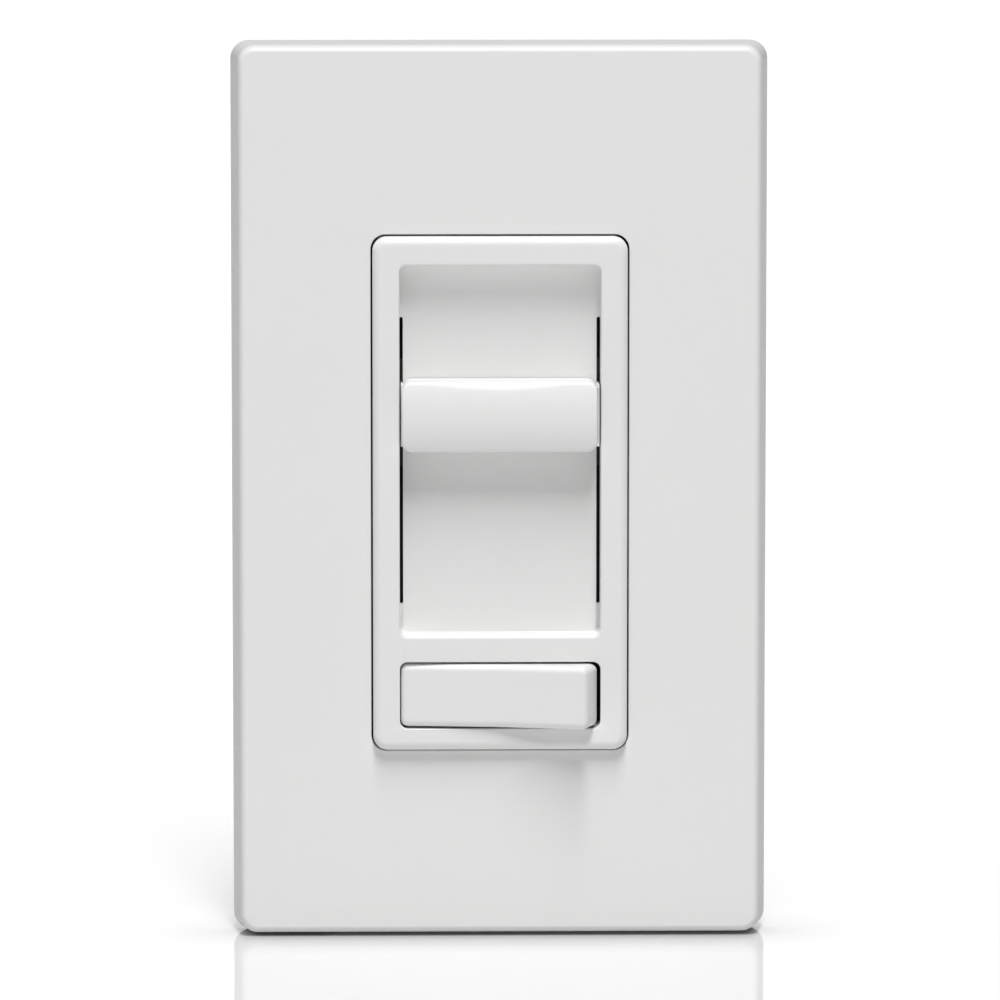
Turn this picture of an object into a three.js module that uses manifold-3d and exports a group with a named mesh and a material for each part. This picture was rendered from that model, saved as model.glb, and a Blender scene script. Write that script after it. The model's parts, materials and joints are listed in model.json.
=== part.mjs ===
// A slide dimmer for one wall box, with its screwless wallplate.
// Millimetres. X is to the right, Y runs back into the wall, Z is up.
// Everything is first laid out about the middle of the wall plane; the whole
// device is then stood on its bottom edge, with the origin under its middle.

import * as THREE from 'three';
import { mergeVertices } from 'three/addons/utils/BufferGeometryUtils.js';
import Module from 'manifold-3d';

const wasm = await Module();
wasm.setup();

// ---- driving dimensions ---------------------------------------------------

const PLATE = { width: 69.9, height: 117, corner: 2.4, face: -6.8, wall: 1.6 };
const PLATE_DRAFT = { side: 0.9, end: 0.4 };
const PLATE_ROLL = { inset: 1, depth: 1.5 };

// The face frame and the opening round it sit a little below the plate's middle.
const FACE_Z = -0.16;
const OPENING = { width: 33.54, height: 67.48, corner: 1.95 };
const FRAME = { width: 33.08, height: 67.02, corner: 1.9, front: -8.6, edge: 1.1 };

const SUBPLATE = { width: 64.5, height: 111.5, corner: 2, front: -3.1, back: -1.5 };
const STRAP = { front: -1.5, back: 0 };
const BOX_SCREW_Z = 83.34 / 2;
const PLATE_SCREW_Z = 96.84 / 2;
const SHEET = { width: 34, height: 68, front: -1.8 };

const WINDOW = { halfWidth: 13.05, top: 29.65, bottom: -18.5, corner: 0.9 };
const FLOOR = { front: -4.8, back: -3.4 };
const COVE_HEIGHT = 6.4;
const SLOT = { inner: 12.6, outer: 13.05, top: 22.7, bottom: -14.9 };

const SLIDER = { z: 10.12, halfWidth: 12.6, height: 9.2, corner: 1.35, crest: -10.7 };
const SLIDER_UP = 8.3;
const SLIDER_DOWN = 20.8;
const BLADE = { inner: 12.68, outer: 12.95, halfHeight: 4.02 };

const ROCKER = { z: -26.435, height: 8.2, pivotY: -4.6, halfWidth: 12.15, draft: 11.2, corner: 0.9 };
const ROCKER_TILT = 9;
const ROCKER_VEE = 3.5;
const ROCKER_WINDOW = { halfWidth: 13.05, top: -22.07, bottom: -30.8, corner: 1 };
const ROCKER_PROUD = 1.05;
const PIN_RADIUS = 0.9;
const STEM = { radius: 2.2, bore: 1.5, length: 7.6 };
const PLUNGER = { radius: 1.45, reach: 14 };

const BRIDGE = { pivotY: 11, tilt: 6, vee: 9, halfWidth: 8, halfHeight: 3, thickness: 0.8 };
const CONTACT_X = 6.8;

const HOUSING = { width: 44.5, height: 71, depth: 30, corner: 2.5, wall: 1.8, rim: 6, step: 0.6 };
const HOUSING_SCREW = { x: 17.6, z: 31.4, boss: 2.9, bore: 1.45, shank: 1.25 };
const BOARD = { halfWidth: 19, top: 28, bottom: -17.5, front: 7, back: 8.6 };
const POT = { halfWidth: 4.5, top: 24, bottom: -16, front: 0.6, joint: 5.2 };

const LEAD_RADIUS = 1.6;
const CONDUCTOR_RADIUS = 0.8;
const LEAD_EXIT_Z = -24;
const LEAD_FALL = { front: 37, back: 45 };
const SNUG = 0.05;
const EPS = 0.01;

const rad = THREE.MathUtils.degToRad;

// ---- materials ------------------------------------------------------------

function paint(color, roughness, metalness = 0) {
  return new THREE.MeshStandardMaterial({ color, roughness, metalness });
}

const PAINT = {
  white: () => paint(0xf2f2f0, 0.35),
  innerWhite: () => paint(0xe9e9e6, 0.5),
  aluminium: () => paint(0xb9bcc0, 0.4, 0.9),
  steel: () => paint(0x9b9da1, 0.35, 0.9),
  brass: () => paint(0xc9a24b, 0.35, 0.9),
  copper: () => paint(0xb8703c, 0.35, 0.9),
  silver: () => paint(0xd5d5d2, 0.3, 0.95),
  blackPlastic: () => paint(0x26272a, 0.55),
  phenolic: () => paint(0x6b4a2c, 0.6),
  board: () => paint(0x2f6b3d, 0.5),
  ferrite: () => paint(0x4a4c50, 0.7),
  amber: () => paint(0xb9762f, 0.4),
  blue: () => paint(0x2d5fa8, 0.45),
  green: () => paint(0x2c8a45, 0.5),
  red: () => paint(0xb3261f, 0.5),
  black: () => paint(0x1b1b1d, 0.5),
  tan: () => paint(0xcbb38c, 0.6),
};

// ---- solids ---------------------------------------------------------------

function toSolid(geometry) {
  const bare = geometry.clone();
  bare.deleteAttribute('normal');
  bare.deleteAttribute('uv');
  const merged = mergeVertices(bare, 1e-5);
  const corners = merged.index.array;
  const kept = [];
  for (let i = 0; i < corners.length; i += 3) {
    const [a, b, c] = corners.slice(i, i + 3);
    if (a !== b && b !== c && c !== a) kept.push(a, b, c);
  }
  const vertProperties = new Float32Array(merged.attributes.position.array);
  const triVerts = new Uint32Array(kept);
  return new wasm.Manifold(new wasm.Mesh({ numProp: 3, vertProperties, triVerts }));
}

function toGeometry(solid) {
  const { vertProperties, triVerts } = solid.getMesh();
  const geometry = new THREE.BufferGeometry();
  geometry.setAttribute('position', new THREE.BufferAttribute(vertProperties, 3));
  geometry.setIndex(new THREE.BufferAttribute(triVerts, 1));
  geometry.computeVertexNormals();
  return geometry;
}

function join(first, ...others) {
  return toGeometry(others.reduce((sum, other) => sum.add(toSolid(other)), toSolid(first)));
}

function cut(first, ...tools) {
  return toGeometry(tools.reduce((rest, tool) => rest.subtract(toSolid(tool)), toSolid(first)));
}

function overlap(first, second) {
  return toGeometry(toSolid(first).intersect(toSolid(second)));
}

// ---- basic shapes ---------------------------------------------------------

function roundedRect(width, height, radius, centreX = 0, centreZ = 0) {
  const shape = new THREE.Shape();
  const x = width / 2 - radius;
  const z = height / 2 - radius;
  shape.absarc(centreX + x, centreZ + z, radius, 0, Math.PI / 2);
  shape.absarc(centreX - x, centreZ + z, radius, Math.PI / 2, Math.PI);
  shape.absarc(centreX - x, centreZ - z, radius, Math.PI, Math.PI * 1.5);
  shape.absarc(centreX + x, centreZ - z, radius, Math.PI * 1.5, Math.PI * 2);
  shape.closePath();
  return shape;
}

// A rounded rectangle given by its edges.
function roundedSpan(left, right, bottom, top, radius) {
  return roundedRect(right - left, top - bottom, radius, (left + right) / 2, (bottom + top) / 2);
}

function polygon(points) {
  return new THREE.Shape(points.map(([a, b]) => new THREE.Vector2(a, b)));
}

// A shape in X and Z, given thickness from front to back along Y.
function slab(shape, front, back, curveSegments = 2) {
  const options = { depth: back - front, bevelEnabled: false, curveSegments };
  const geometry = new THREE.ExtrudeGeometry(shape, options);
  geometry.rotateX(Math.PI / 2);
  geometry.translate(0, back, 0);
  return geometry;
}

// A shape in X and Y, standing from bottom to top along Z.
function column(shape, bottom, top, curveSegments = 4) {
  const options = { depth: top - bottom, bevelEnabled: false, curveSegments };
  const geometry = new THREE.ExtrudeGeometry(shape, options);
  geometry.translate(0, 0, bottom);
  return geometry;
}

// A shape in Y and Z, running from left to right along X.
function bar(shape, left, right, curveSegments = 5) {
  const options = { depth: right - left, bevelEnabled: false, curveSegments };
  const geometry = new THREE.ExtrudeGeometry(shape, options);
  const turn = new THREE.Matrix4().makeBasis(
    new THREE.Vector3(0, 1, 0),
    new THREE.Vector3(0, 0, 1),
    new THREE.Vector3(1, 0, 0),
  );
  geometry.applyMatrix4(turn);
  geometry.translate(left, 0, 0);
  return geometry;
}

function block(left, right, front, back, bottom, top) {
  const geometry = new THREE.BoxGeometry(right - left, back - front, top - bottom);
  geometry.translate((left + right) / 2, (front + back) / 2, (bottom + top) / 2);
  return geometry;
}

// A round rod along Y.
function rod(radius, front, back, x = 0, z = 0, segments = 16) {
  const geometry = new THREE.CylinderGeometry(radius, radius, back - front, segments);
  geometry.translate(x, (front + back) / 2, z);
  return geometry;
}

// A round pin along Z.
function pin(radius, bottom, top, x = 0, y = 0, segments = 24) {
  const geometry = new THREE.CylinderGeometry(radius, radius, top - bottom, segments);
  geometry.rotateX(Math.PI / 2);
  geometry.translate(x, y, (bottom + top) / 2);
  return geometry;
}

// A body turned about Y; the profile is [radius, y] from front to back.
function turned(profile, x = 0, z = 0, segments = 16) {
  const points = profile.map(([radius, y]) => new THREE.Vector2(radius, y));
  const geometry = new THREE.LatheGeometry(points, segments);
  geometry.translate(x, 0, z);
  return geometry;
}

// A round wire along a smooth path.
function wire(points, radius, steps, sides = 4) {
  const path = new THREE.CatmullRomCurve3(points.map((p) => new THREE.Vector3(...p)), false, 'centripetal');
  const section = new THREE.Shape();
  section.absarc(0, 0, radius, 0, Math.PI * 2);
  const options = { steps, extrudePath: path, bevelEnabled: false, curveSegments: sides };
  return new THREE.ExtrudeGeometry(section, options);
}

// A skin over rounded rectangles stacked along Y, the front one first.
function stack(sections, cornerSteps = 3) {
  const rings = sections.map((s) => {
    const points = roundedRect(s.width, s.height, s.corner).getPoints(cornerSteps);
    if (points[0].distanceTo(points[points.length - 1]) < 1e-6) points.pop();
    return points;
  });
  const count = rings[0].length;
  const positions = rings.flatMap((ring, i) => ring.flatMap((p) => [p.x, sections[i].y, p.y]));
  const index = [];
  for (let i = 0; i + 1 < rings.length; i += 1) {
    for (let j = 0; j < count; j += 1) {
      const a = i * count + j;
      const b = i * count + (j + 1) % count;
      index.push(a, a + count, b + count, a, b + count, b);
    }
  }
  const last = (rings.length - 1) * count;
  THREE.ShapeUtils.triangulateShape(rings[0], []).forEach(([a, b, c]) => index.push(a, b, c));
  THREE.ShapeUtils.triangulateShape(rings[rings.length - 1], []).forEach(([a, b, c]) => {
    index.push(last + a, last + c, last + b);
  });
  const geometry = new THREE.BufferGeometry();
  geometry.setAttribute('position', new THREE.Float32BufferAttribute(positions, 3));
  geometry.setIndex(index);
  geometry.computeVertexNormals();
  return geometry;
}

// The sections of a rolled front edge, from the face back to the full outline.
function rolledEdge(size, front, inset, depth, steps) {
  return Array.from({ length: steps + 1 }, (_, i) => {
    const angle = (Math.PI / 2) * (i / steps);
    const shrink = inset * (1 - Math.sin(angle));
    return {
      y: front + depth * (1 - Math.cos(angle)),
      width: size.width - 2 * shrink,
      height: size.height - 2 * shrink,
      corner: size.corner - shrink,
    };
  });
}

// ---- wallplate ------------------------------------------------------------

function wallplateCover() {
  const shoulder = {
    width: PLATE.width - 2 * PLATE_DRAFT.side,
    height: PLATE.height - 2 * PLATE_DRAFT.end,
    corner: PLATE.corner,
  };
  const edge = rolledEdge(shoulder, PLATE.face, PLATE_ROLL.inset, PLATE_ROLL.depth, 4);
  const outside = stack([...edge, { ...PLATE, y: 0 }]);
  const insideFace = PLATE.face + PLATE.wall;
  const inset = 2 * PLATE.wall;
  const inside = stack([
    { y: insideFace, width: shoulder.width - inset, height: shoulder.height - inset, corner: 1.2 },
    { y: 1, width: PLATE.width - inset, height: PLATE.height - inset, corner: 1.2 },
  ]);
  const openingShape = roundedRect(OPENING.width, OPENING.height, OPENING.corner, 0, FACE_Z);
  const opening = slab(openingShape, PLATE.face - 1, 1);
  // Four claws inside the top and bottom walls hook behind the sub-plate.
  const clawReach = SUBPLATE.height / 2 - 0.4;
  const wallInside = PLATE.height / 2 - PLATE.wall;
  const claws = [];
  for (const side of [-1, 1]) {
    for (const x of [-20, 20]) {
      const low = Math.min(side * clawReach, side * (wallInside + 0.5));
      const high = Math.max(side * clawReach, side * (wallInside + 0.5));
      claws.push(block(x - 4, x + 4, -1.35, -0.45, low, high));
    }
  }
  return join(cut(outside, inside, opening), ...claws);
}

function wallplateSubplate() {
  const { width, height, corner, front, back } = SUBPLATE;
  const rimFront = front - 0.9;
  const sheet = slab(roundedRect(width, height, corner), front, back);
  const rimOuter = slab(roundedRect(width, height, corner), rimFront, front + EPS);
  const rimInner = slab(roundedRect(width - 3, height - 3, corner - 1), rimFront - 1, front + 1);
  const window = slab(roundedRect(34.4, 68.4, 2.2, 0, FACE_Z), rimFront - 1, back + 1);
  const holes = [];
  for (const side of [-1, 1]) {
    holes.push(rod(4, front - 1, back + 1, 0, side * BOX_SCREW_Z));
    holes.push(turned([[0, front - 1], [3.4, front - 1], [3.4, front], [1.9, -1.8], [1.9, 0], [0, 0]],
      0, side * PLATE_SCREW_Z));
  }
  return cut(join(sheet, cut(rimOuter, rimInner)), window, ...holes);
}

function slottedHead(body, radius, front, x, z) {
  return cut(body, block(x - radius, x + radius, front - 1, front + 0.8, z - 0.4, z + 0.4));
}

function plateScrew(side) {
  const z = side * PLATE_SCREW_Z;
  const profile = [[0, -3.75], [1.8, -3.6], [3.2, -3.2], [1.7, -1.9], [1.7, 3.5], [1.2, 4], [0, 4]];
  return slottedHead(turned(profile, 0, z), 4, -3.75, 0, z);
}

// ---- mounting strap -------------------------------------------------------

const FRAME_LEGS = [[-1, 26], [1, 26], [-1, -24], [1, -24]];
const LEVER_SLOT = { top: SLIDER.z + SLIDER_UP + 3.2, bottom: SLIDER.z - SLIDER_DOWN - 3.2 };
const STEM_HOLE = { top: -22.4, bottom: -30.5 };
const TRIAC = { x: 12, bottom: 1, top: 16, tabTop: 22, rivetZ: 19 };
const FIN_GROOVE = { x: 25.5, halfWidth: 0.3, depth: 0.3 };
const GROUND = { x: 12, z: -40.2, barrelY: 2.4 };

function mountingStrap() {
  const wings = slab(roundedRect(60, 72, 2), STRAP.front, STRAP.back);
  const ears = slab(roundedRect(38, 105.8, 3), STRAP.front, STRAP.back);
  const through = [STRAP.front - 1, STRAP.back + 1];
  const cuts = [
    slab(roundedSpan(-2.2, 2.2, LEVER_SLOT.bottom, LEVER_SLOT.top, 1), ...through),
    slab(roundedSpan(-5.5, 5.5, STEM_HOLE.bottom, STEM_HOLE.top, 1), ...through),
    rod(1.5, ...through, TRIAC.x, TRIAC.rivetZ),
    rod(1.7, ...through, GROUND.x, GROUND.z),
  ];
  for (const side of [-1, 1]) {
    cuts.push(slab(roundedRect(4.2, 6.6, 2.05, 0, side * BOX_SCREW_Z), ...through));
    cuts.push(rod(1.8, ...through, 0, side * PLATE_SCREW_Z));
    // The outer fins snap off along a groove in both faces when dimmers share a box.
    const groove = [side * FIN_GROOVE.x - FIN_GROOVE.halfWidth, side * FIN_GROOVE.x + FIN_GROOVE.halfWidth];
    cuts.push(block(...groove, STRAP.front - 1, STRAP.front + FIN_GROOVE.depth, -40, 40));
    cuts.push(block(...groove, STRAP.back - FIN_GROOVE.depth, STRAP.back + 1, -40, 40));
    for (const z of [-HOUSING_SCREW.z, HOUSING_SCREW.z]) {
      cuts.push(rod(HOUSING_SCREW.shank + 0.1, ...through, side * HOUSING_SCREW.x, z));
    }
  }
  for (const [side, z] of FRAME_LEGS) {
    cuts.push(block(side * 15.3 - 0.8, side * 15.3 + 0.8, ...through, z - 1.6, z + 1.6));
  }
  return cut(join(wings, ears), ...cuts);
}

function boxScrew(side) {
  const z = side * BOX_SCREW_Z;
  const head = [[0, -3.9], [2.2, -3.7], [3.2, -2.9], [3.2, STRAP.front]];
  const shank = [[1.75, STRAP.front], [1.75, 23], [1, 24], [0, 24]];
  return slottedHead(turned([...head, ...shank], 0, z), 4, -3.9, 0, z);
}

function screwRetainer(side) {
  const z = side * BOX_SCREW_Z;
  return cut(slab(roundedRect(9, 9, 1, 0, z), 0.1, 0.9), rod(1.85, -1, 2, 0, z));
}

function groundScrew() {
  const { x, z } = GROUND;
  const profile = [[0, -1.4], [1.6, -1.4], [1.6, 0.9], [2.9, 0.9], [2.9, 1.9], [1.9, 2.4], [0, 2.5]];
  return cut(turned(profile, x, z), block(x - 4, x + 4, 1.8, 4, z - 0.4, z + 0.4));
}

function groundRing() {
  const { x, z } = GROUND;
  const barrelTop = z - 3.6;
  const ring = slab(roundedRect(6.8, 6.8, 3.3, x, z), SNUG, 0.85);
  const tongue = block(x - 1.6, x + 1.6, SNUG, 0.85, barrelTop - 1, z - 2.5);
  const barrel = pin(2.3, barrelTop - 5, barrelTop, x, GROUND.barrelY);
  const bore = pin(1.9, barrelTop - 6, barrelTop - 0.4, x, GROUND.barrelY);
  return cut(join(ring, tongue, barrel), bore, rod(1.75, -1, 3, x, z));
}

// ---- insulating sheet -----------------------------------------------------

// A dark sheet that covers the strap behind the face frame.
function insulatingSheet() {
  const { width, height, front } = SHEET;
  const through = [front - 1, STRAP.back];
  const legHoles = FRAME_LEGS.map(([side, z]) => (
    block(side * 15.3 - 0.8, side * 15.3 + 0.8, ...through, z - 1.6, z + 1.6)
  ));
  return cut(
    slab(roundedRect(width, height, 1.9, 0, FACE_Z), front, STRAP.front),
    slab(roundedSpan(-2.2, 2.2, LEVER_SLOT.bottom, LEVER_SLOT.top, 1), ...through),
    slab(roundedSpan(-5.5, 5.5, STEM_HOLE.bottom, STEM_HOLE.top, 1), ...through),
    ...legHoles,
  );
}

// ---- face frame -----------------------------------------------------------

// The recess for the slider: a flat floor that sweeps up to the lip at the top.
function recess() {
  const profile = new THREE.Shape();
  const coveFoot = WINDOW.top - COVE_HEIGHT;
  profile.moveTo(FRAME.front - 1, WINDOW.bottom);
  profile.lineTo(FLOOR.front, WINDOW.bottom);
  profile.lineTo(FLOOR.front, coveFoot);
  profile.absellipse(FRAME.front, coveFoot, FLOOR.front - FRAME.front, COVE_HEIGHT, 0, Math.PI / 2, false, 0);
  profile.lineTo(FRAME.front - 1, WINDOW.top);
  const { halfWidth, bottom, top, corner } = WINDOW;
  const sweep = bar(profile, -halfWidth, halfWidth, 5);
  const outlineShape = roundedSpan(-halfWidth, halfWidth, bottom, top, corner);
  return overlap(sweep, slab(outlineShape, FRAME.front - 2, FLOOR.front + 1));
}

function faceFrame() {
  const edge = rolledEdge(FRAME, FRAME.front, FRAME.edge, FRAME.edge, 4);
  const body = stack([...edge, { ...FRAME, y: SHEET.front }]);
  body.translate(0, 0, FACE_Z);
  const cavity = slab(roundedSpan(-14.2, 14.2, -19.6, 30.6, 0.8), FLOOR.back, STRAP.front + 1);
  const { halfWidth, bottom, top, corner } = ROCKER_WINDOW;
  const rockerHole = slab(roundedSpan(-halfWidth, halfWidth, bottom, top, corner), FRAME.front - 1, 0);
  // Behind the lip the hole widens, so that the ends of the rocker can swing.
  const relief = slab(roundedSpan(-13.8, 13.8, bottom, top, corner), FRAME.front + 1.2, 0);
  const pivotHoles = pin(PIN_RADIUS + 0.06, bottom - 1.3, top + 1.3, 0, ROCKER.pivotY);
  const cuts = [recess(), cavity, rockerHole, relief, pivotHoles];
  for (const side of [-1, 1]) {
    const left = Math.min(side * SLOT.inner, side * SLOT.outer);
    const right = left + SLOT.outer - SLOT.inner;
    cuts.push(slab(roundedSpan(left, right, SLOT.bottom, SLOT.top, 0.2), FLOOR.front - 1, STRAP.front, 1));
    cuts.push(block(left, right, FLOOR.front - 1, FLOOR.front + 0.3, WINDOW.bottom + 0.02, SLOT.bottom + 1));
  }
  const legs = FRAME_LEGS.flatMap(([side, z]) => {
    const left = Math.min(side * 14.7, side * 15.9);
    const nib = Math.min(side * 15.4, side * 16.5);
    return [
      block(left, left + 1.2, SHEET.front - 0.5, 0.95, z - 1.4, z + 1.4),
      block(nib, nib + 1.1, 0.1, 0.95, z - 1.4, z + 1.4),
    ];
  });
  return join(cut(body, ...cuts), ...legs);
}

// ---- slider ---------------------------------------------------------------

// The hollow for a fingertip, which widens the middle of the bar's upper front edge. It is drawn facing the
// front and then turned halfway up; bulge and half are the half sizes of the bar's rounded front.
function fingerScoop(bulge, half) {
  const reach = 10.5;
  const depth = 0.6;
  const radius = (reach ** 2 + depth ** 2) / (2 * depth);
  const sweep = Math.asin(reach / radius);
  const edge = -Math.hypot(bulge, half) / Math.SQRT2;
  const hollow = new THREE.Shape();
  hollow.absarc(0, edge + depth - radius, radius, Math.PI / 2 - sweep, Math.PI / 2 + sweep);
  hollow.lineTo(-reach, edge - 2);
  hollow.lineTo(reach, edge - 2);
  return column(hollow, -half, half, 6).rotateX(-Math.PI / 4);
}

// A bar that is rounded from top to bottom, with a thin blade beside each end that runs in the frame's slots.
function sliderKnob() {
  const { z, halfWidth, height, corner, crest } = SLIDER;
  const back = FLOOR.front - 0.15;
  const bulge = 1.6;
  const shoulder = crest + bulge;
  const half = height / 2;
  const profile = new THREE.Shape();
  profile.moveTo(back, z - half);
  profile.lineTo(back, z + half);
  profile.lineTo(shoulder, z + half);
  profile.absellipse(shoulder, z, bulge, half, Math.PI / 2, Math.PI * 1.5, false, 0);
  const outline = slab(roundedRect(halfWidth * 2, height, corner, 0, z), crest - 1, back);
  const round = overlap(bar(profile, -halfWidth, halfWidth, 6), outline);
  const scooped = cut(round, fingerScoop(bulge, half).translate(0, shoulder, z));
  const blades = [-1, 1].map((side) => {
    const left = Math.min(side * (halfWidth - 0.3), side * BLADE.outer);
    const right = Math.max(side * (halfWidth - 0.3), side * BLADE.outer);
    return block(left, right, FRAME.front + 0.6, back + EPS, z - BLADE.halfHeight, z + BLADE.halfHeight);
  });
  const tails = [-1, 1].map((side) => {
    const left = Math.min(side * BLADE.inner, side * BLADE.outer);
    const right = Math.max(side * BLADE.inner, side * BLADE.outer);
    return block(left, right, back - 0.4, SHEET.front - 0.2, z - BLADE.halfHeight, z + BLADE.halfHeight);
  });
  return join(scooped, ...blades, ...tails);
}

function sliderCarriage() {
  const { z } = SLIDER;
  const plate = slab(roundedRect(28, 14, 1.5, 0, z), FLOOR.back + 0.1, SHEET.front - 0.15);
  const fork = block(-1.1, 1.1, FLOOR.back - 1, STRAP.front + 1, z - 2.2, z + 2.2);
  const lightening = [-1, 1].map((side) => (
    slab(roundedRect(7, 8.5, 1, side * 6.5, z), FLOOR.back - 1, STRAP.front + 1)
  ));
  const bladeSlots = [-1, 1].map((side) => {
    const left = Math.min(side * SLOT.inner, side * SLOT.outer);
    return block(left, left + SLOT.outer - SLOT.inner, FLOOR.back - 1, STRAP.front + 1,
      z - BLADE.halfHeight - 0.08, z + BLADE.halfHeight + 0.08);
  });
  return cut(plate, fork, ...lightening, ...bladeSlots);
}

function potLever() {
  const { z } = SLIDER;
  const post = block(-1, 1, -2.9, 1.7, z - 2.1, z + 2.1);
  const wiper = block(-2.8, 2.8, 1.5, 4.5, z - 3.1, z + 3.1);
  return join(post, wiper);
}

// ---- rocker: built about its pivot, which runs along Z ----------------------

// The face is a shallow vee; the back slopes in from the ends to the pivot.
function rockerSection() {
  const { halfWidth, pivotY } = ROCKER;
  const middle = FRAME.front - ROCKER_PROUD - pivotY;
  const beyond = halfWidth + 2.5;
  const rise = beyond * Math.tan(rad(ROCKER_VEE));
  return polygon([
    [0, middle], [beyond, middle - rise], [beyond, -1.8], [13.3, -1.6], [3.5, 1.2],
    [-3.5, 1.2], [-13.3, -1.6], [-beyond, -1.8], [-beyond, middle - rise],
  ]);
}

// The end walls spread out from the face to the back.
function rockerOutline() {
  const { halfWidth, pivotY, draft, height, corner } = ROCKER;
  const faceEnd = FRAME.front - ROCKER_PROUD - pivotY - halfWidth * Math.tan(rad(ROCKER_VEE));
  return stack([faceEnd - 1, 1.5].map((y) => {
    const width = 2 * (halfWidth + (y - faceEnd) * Math.tan(rad(draft)));
    return { y, width, height, corner };
  }));
}

function rockerPaddle() {
  const half = ROCKER.height / 2;
  const paddle = overlap(column(rockerSection(), -half - 1, half + 1), rockerOutline());
  const hollows = [-1, 1].map((side) => {
    const section = [[4, 3], [14.5, 3], [14.5, 0.6], [11.4, -3.8], [4, -3.2]];
    return column(polygon(section.map(([x, y]) => [side * x, y])), -half + 1.1, half - 1.1);
  });
  const pins = pin(PIN_RADIUS, -half - 1.2, half + 1.2);
  const stem = rod(STEM.radius, 0, STEM.length);
  const body = join(cut(paddle, ...hollows), pins, stem);
  return cut(body, rod(STEM.bore, 0.9, STEM.length + 1));
}

function rockerPlunger() {
  const { radius, reach } = PLUNGER;
  const nose = Array.from({ length: 6 }, (_, i) => {
    const angle = (Math.PI / 2) * (i / 5);
    return [radius * Math.cos(angle), reach - radius + radius * Math.sin(angle)];
  });
  nose[5][0] = 0;
  return turned([[0, 2.4], [0.7, 2.4], [0.7, 4.3], [radius, 4.3], ...nose]);
}

function rockerSpring() {
  const turns = 5;
  const perTurn = 8;
  const points = Array.from({ length: turns * perTurn + 1 }, (_, i) => {
    const angle = (i / perTurn) * Math.PI * 2;
    return [1.12 * Math.cos(angle), 1.2 + (2.6 * i) / (turns * perTurn), 1.12 * Math.sin(angle)];
  });
  return wire(points, 0.18, turns * 8, 2);
}

// ---- switch: the bridge is built about its own pivot ------------------------

function contactBridge() {
  const { vee, halfWidth, halfHeight, thickness } = BRIDGE;
  const rise = halfWidth * Math.tan(rad(vee));
  const front = -1.45;
  const back = front + thickness;
  const shape = polygon([
    [-halfWidth, front - rise], [0, front], [halfWidth, front - rise],
    [halfWidth, back - rise], [0.6, back], [0.6, -0.3], [0, 0], [-0.6, -0.3], [-0.6, back],
    [-halfWidth, back - rise],
  ]);
  return column(shape, -halfHeight, halfHeight);
}

function bridgeContact(side) {
  const { vee, thickness } = BRIDGE;
  const seat = -1.45 + thickness - (CONTACT_X - 1.3) * Math.tan(rad(vee)) + SNUG;
  return turned([[0, seat], [1.3, seat], [1.3, seat + 0.4], [0.7, -0.52], [0, -0.5]], side * CONTACT_X);
}

function fixedContact(side) {
  return turned([[0, 11.42], [0.9, 11.45], [1.5, 11.7], [1.5, 12.3], [0, 12.3]], side * CONTACT_X, ROCKER.z);
}

function fixedTerminal(side) {
  const { z } = ROCKER;
  const faceX = side * 8.55;
  const tailX = side * 12.1;
  const face = block(faceX - 3.95, faceX + 3.95, 12.3, 13.1, z - 3, z + 3);
  const tail = block(tailX - 0.4, tailX + 0.4, 13, 20, z - 2, z + 2);
  return join(face, tail);
}

function commonTerminal() {
  const { z } = ROCKER;
  const face = block(-2.6, 2.6, 12.3, 13.1, z - 6.8, z + 3);
  const post = cut(
    block(-1.5, 1.5, 10.7, 12.4, z - 3, z + 3),
    column(polygon([[-1.6, 10.6], [0, 11.15], [1.6, 10.6]]), z - 4, z + 4),
  );
  const foot = block(-2.6, 2.6, 12.3, 20, z - 6.8, z - 6.05);
  return join(face, post, foot);
}

function switchBase() {
  const { z } = ROCKER;
  const base = block(-11.5, 11.5, 13.1, 17.5, z - 6, z + 6.2);
  const pocket = block(-9.5, 9.5, 14.9, 18, z - 4, z + 4.2);
  return cut(base, pocket);
}

// ---- slide potentiometer ----------------------------------------------------

function potCover() {
  const { halfWidth, top, bottom, front, joint } = POT;
  const sheet = 0.5;
  const outside = slab(roundedSpan(-halfWidth, halfWidth, bottom, top, 0.6), front, joint);
  const innerHalf = halfWidth - sheet;
  const inside = block(-innerHalf, innerHalf, front + sheet, joint + 1, bottom + sheet, top - sheet);
  const slotTop = SLIDER.z + SLIDER_UP + 2.5;
  const slotBottom = SLIDER.z - SLIDER_DOWN - 2.5;
  return cut(outside, inside, block(-1.3, 1.3, front - 1, front + 1, slotBottom, slotTop));
}

function potTrack() {
  const { halfWidth, top, bottom, joint } = POT;
  const base = block(-halfWidth, halfWidth, joint, BOARD.front, bottom, top);
  const track = block(-halfWidth + 1.2, halfWidth - 1.2, joint - 0.5, joint + EPS, bottom + 1, top - 1);
  return join(base, track);
}

// ---- circuit board and its components ---------------------------------------

function circuitBoard() {
  const { halfWidth, top, bottom, front, back } = BOARD;
  const corners = [[-16, 25], [16, 25], [-16, -14.5], [16, -14.5]];
  const holes = corners.map(([x, z]) => rod(1.3, front - 1, back + 1, x, z, 16));
  return cut(slab(roundedSpan(-halfWidth, halfWidth, bottom, top, 1), front, back), ...holes);
}

function triac() {
  const { x, bottom, top, tabTop, rivetZ } = TRIAC;
  const tab = block(x - 5, x + 5, 0.4, 1.7, bottom + 2, tabTop);
  const body = block(x - 5, x + 5, 0.9, 4.8, bottom, top);
  const legs = [-2.5, 0, 2.5].flatMap((offset) => [
    block(x + offset - 0.4, x + offset + 0.4, 2.4, 3, bottom - 3, bottom + EPS),
    block(x + offset - 0.4, x + offset + 0.4, 2.4, BOARD.front - SNUG, bottom - 3.6, bottom - 3 + EPS),
  ]);
  return cut(join(tab, body, ...legs), rod(1.6, -1, 3, x, rivetZ));
}

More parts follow.
